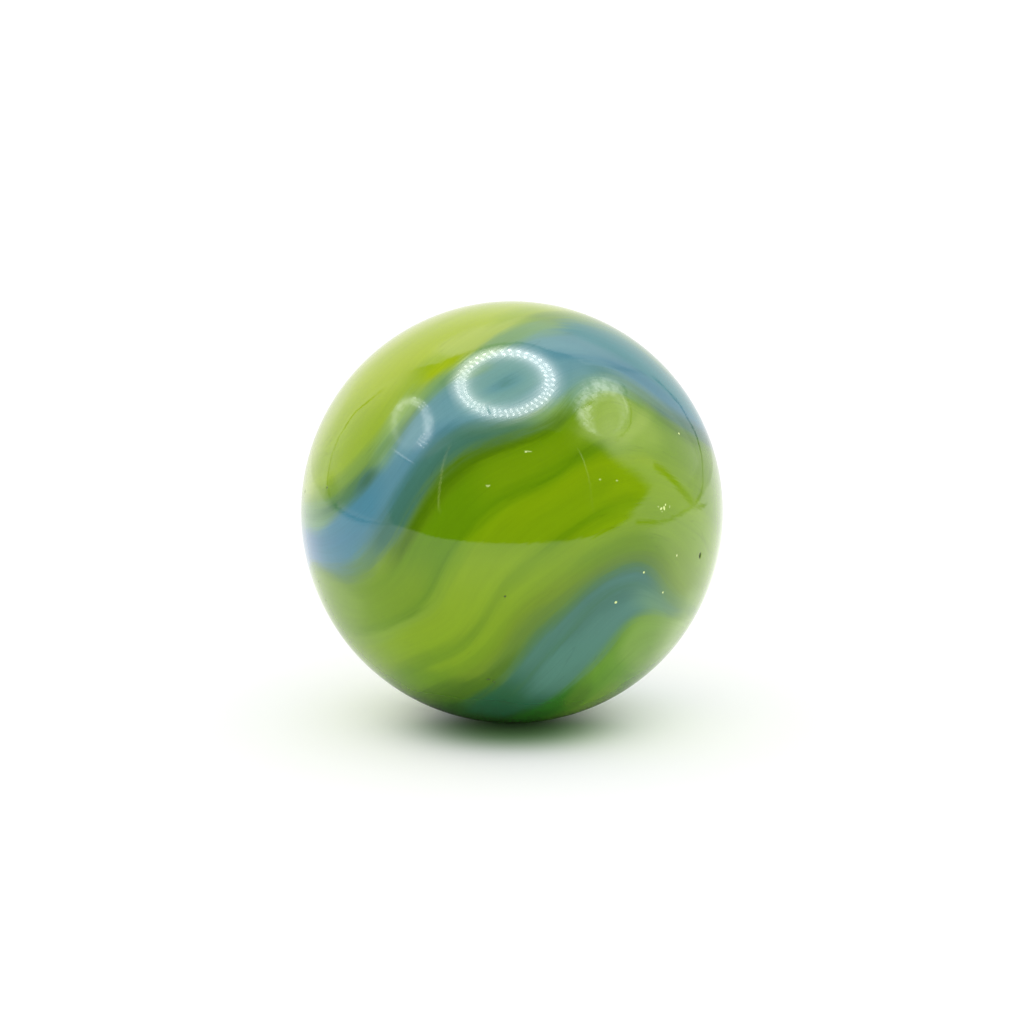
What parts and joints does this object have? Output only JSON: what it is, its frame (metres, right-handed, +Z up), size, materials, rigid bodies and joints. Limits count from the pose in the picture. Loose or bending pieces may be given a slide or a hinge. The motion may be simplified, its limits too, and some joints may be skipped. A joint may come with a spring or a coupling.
{
  "type": "glass marble",
  "caption": "Solid ball of opaque glass, green with swirled blue bands fused in, used as a toy or game piece.",
  "frame": {"origin": "centre of the ball", "axes": "+Z up, -Y towards the side that is seen from the front"},
  "size_m": [0.016, 0.016, 0.016],
  "materials": {
    "swirled_glass": "polished opaque glass, green with blue swirls"
  },
  "bodies": {
    "root": {"marble": "swirled_glass"}
  },
  "joints": []
}
